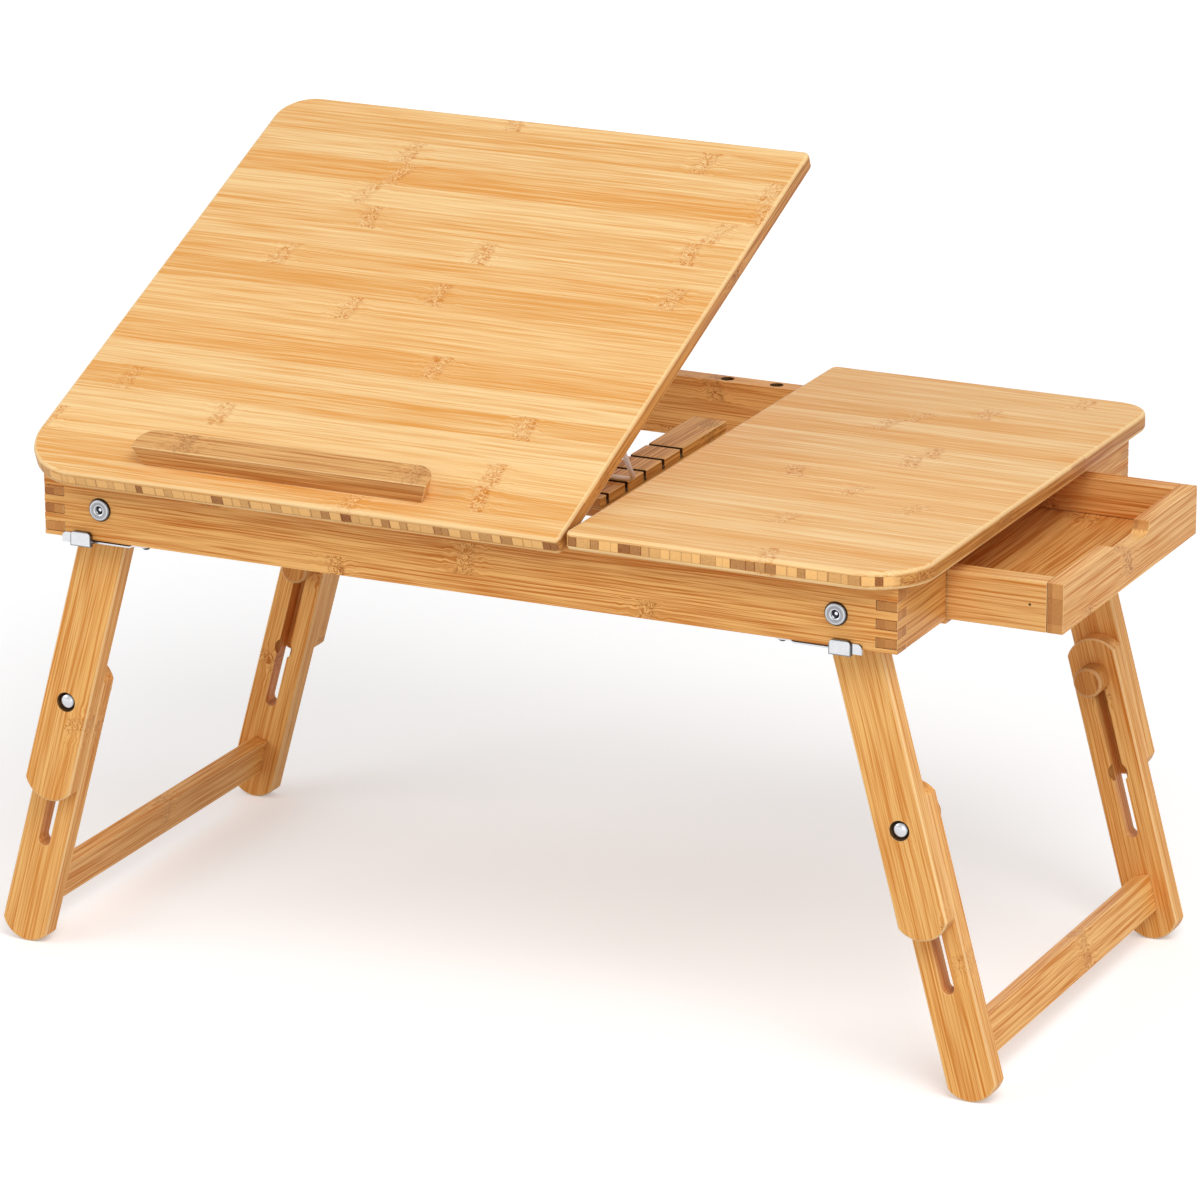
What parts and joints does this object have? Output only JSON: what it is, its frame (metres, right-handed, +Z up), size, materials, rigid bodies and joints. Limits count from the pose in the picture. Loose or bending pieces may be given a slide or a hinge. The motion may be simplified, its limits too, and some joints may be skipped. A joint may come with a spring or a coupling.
{
  "type": "folding bed table with drawer",
  "caption": "Folding bed table for a laptop: a tilting desk board with a book stop, a fixed board over a sliding drawer, and splayed legs that fold and slide.",
  "frame": {"origin": "centre of the standing table in plan, with the drawer and the desk as pictured, on the floor under the feet", "axes": "+X along the long side towards the drawer, +Y from the user to the back, +Z up"},
  "size_m": [0.6452, 0.3726, 0.4464],
  "materials": {
    "top_bamboo": "satin lacquer",
    "rail_bamboo": "satin lacquer",
    "leg_bamboo": "satin lacquer",
    "stop_bamboo": "satin lacquer",
    "dark_bamboo": "satin lacquer",
    "bright_steel": "bright plated"
  },
  "bodies": {
    "apron": {"front_rail": "rail_bamboo", "back_rail": "rail_bamboo", "left_rail": "rail_bamboo", "right_rail_front": "rail_bamboo", "right_rail_back": "rail_bamboo", "fixed_top": "top_bamboo", "drawer_guide_front": "rail_bamboo", "drawer_guide_back": "rail_bamboo", "bay_wall": "rail_bamboo", "bar_ledge_left": "dark_bamboo", "bar_ledge_right": "dark_bamboo", "notched_bar_left": "dark_bamboo", "notched_bar_right": "dark_bamboo", "hinge_rail_leaf_left": "bright_steel", "hinge_rail_leaf_right": "bright_steel", "left_pivot_bolt_front": "bright_steel", "left_pivot_bolt_back": "bright_steel", "right_pivot_bolt_front": "bright_steel", "right_pivot_bolt_back": "bright_steel", "left_catch_screw_front": "bright_steel", "left_catch_screw_back": "bright_steel", "right_catch_screw_front": "bright_steel", "right_catch_screw_back": "bright_steel"},
    "desk": {"tilt_board": "top_bamboo", "book_stop": "stop_bamboo", "hinge_desk_leaf_left": "bright_steel", "hinge_desk_leaf_right": "bright_steel", "prop_clip_left": "bright_steel", "prop_clip_right": "bright_steel"},
    "prop": {"prop_wire": "bright_steel"},
    "drawer": {"drawer_front": "rail_bamboo", "drawer_side_front": "rail_bamboo", "drawer_side_back": "rail_bamboo", "drawer_back": "rail_bamboo", "drawer_floor": "top_bamboo"},
    "left_upper_legs": {"left_upper_leg_front": "leg_bamboo", "left_upper_leg_back": "leg_bamboo", "left_clamp_bolt_front": "bright_steel", "left_clamp_bolt_back": "bright_steel"},
    "left_lower_legs": {"left_lower_leg_front": "leg_bamboo", "left_lower_leg_back": "leg_bamboo", "left_stretcher": "leg_bamboo"},
    "left_knob_front": {"left_knob_front": "leg_bamboo"},
    "left_catch_front": {"left_catch_front": "bright_steel"},
    "left_knob_back": {"left_knob_back": "leg_bamboo"},
    "left_catch_back": {"left_catch_back": "bright_steel"},
    "right_upper_legs": {"right_upper_leg_front": "leg_bamboo", "right_upper_leg_back": "leg_bamboo", "right_clamp_bolt_front": "bright_steel", "right_clamp_bolt_back": "bright_steel"},
    "right_lower_legs": {"right_lower_leg_front": "leg_bamboo", "right_lower_leg_back": "leg_bamboo", "right_stretcher": "leg_bamboo"},
    "right_knob_front": {"right_knob_front": "leg_bamboo"},
    "right_catch_front": {"right_catch_front": "bright_steel"},
    "right_knob_back": {"right_knob_back": "leg_bamboo"},
    "right_catch_back": {"right_catch_back": "bright_steel"}
  },
  "joints": [
    {"name": "tilt_top", "type": "hinge", "parent": "apron", "child": "desk", "pos_m": [-0.11162, -0.17421, 0.29935], "axis": [1, 0, 0], "range_deg": [-22.5, 12.5]},
    {"name": "prop_swing", "type": "hinge", "parent": "desk", "child": "prop", "pos_m": [-0.11147, -0.0805, 0.33183], "axis": [1, 0, 0], "range_deg": [-36, 64.5]},
    {"name": "drawer_slide", "type": "slide", "parent": "apron", "child": "drawer", "axis": [1, 0, 0], "range_m": [-0.068, 0.07]},
    {"name": "left_legs_fold", "type": "hinge", "parent": "apron", "child": "left_upper_legs", "pos_m": [-0.23537, 0.00129, 0.2807], "axis": [0, -1, 0], "range_deg": [0, 103.5]},
    {"name": "left_legs_slide", "type": "slide", "parent": "left_upper_legs", "child": "left_lower_legs", "axis": [0.2588, 0, 0.9659], "range_m": [0, 0.095]},
    {"name": "left_knob_front_turn", "type": "hinge", "parent": "left_upper_legs", "child": "left_knob_front", "pos_m": [-0.2685, -0.12611, 0.15707], "axis": [0, 1, 0], "continuous": true},
    {"name": "left_catch_front_press", "type": "hinge", "parent": "apron", "child": "left_catch_front", "pos_m": [-0.20637, -0.16546, 0.2614], "axis": [0, -1, 0], "range_deg": [0, 2.3], "stiffness_Nm_per_rad": 5},
    {"name": "left_knob_back_turn", "type": "hinge", "parent": "left_upper_legs", "child": "left_knob_back", "pos_m": [-0.2685, 0.12869, 0.15707], "axis": [0, 1, 0], "continuous": true},
    {"name": "left_catch_back_press", "type": "hinge", "parent": "apron", "child": "left_catch_back", "pos_m": [-0.20637, 0.16804, 0.2614], "axis": [0, -1, 0], "range_deg": [0, 2.3], "stiffness_Nm_per_rad": 5},
    {"name": "right_legs_fold", "type": "hinge", "parent": "apron", "child": "right_upper_legs", "pos_m": [0.21863, 0.00129, 0.2807], "axis": [0, 1, 0], "range_deg": [0, 103.5]},
    {"name": "right_legs_slide", "type": "slide", "parent": "right_upper_legs", "child": "right_lower_legs", "axis": [-0.2588, 0, 0.9659], "range_m": [0, 0.095]},
    {"name": "right_knob_front_turn", "type": "hinge", "parent": "right_upper_legs", "child": "right_knob_front", "pos_m": [0.25176, -0.12611, 0.15707], "axis": [0, 1, 0], "continuous": true},
    {"name": "right_catch_front_press", "type": "hinge", "parent": "apron", "child": "right_catch_front", "pos_m": [0.18163, -0.16546, 0.2614], "axis": [0, 1, 0], "range_deg": [0, 2.3], "stiffness_Nm_per_rad": 5},
    {"name": "right_knob_back_turn", "type": "hinge", "parent": "right_upper_legs", "child": "right_knob_back", "pos_m": [0.25176, 0.12869, 0.15707], "axis": [0, 1, 0], "continuous": true},
    {"name": "right_catch_back_press", "type": "hinge", "parent": "apron", "child": "right_catch_back", "pos_m": [0.18163, 0.16804, 0.2614], "axis": [0, 1, 0], "range_deg": [0, 2.3], "stiffness_Nm_per_rad": 5}
  ],
  "couplings": [
    {"joint": "prop_swing", "follows": "tilt_top", "ratio": -2.8444}
  ]
}
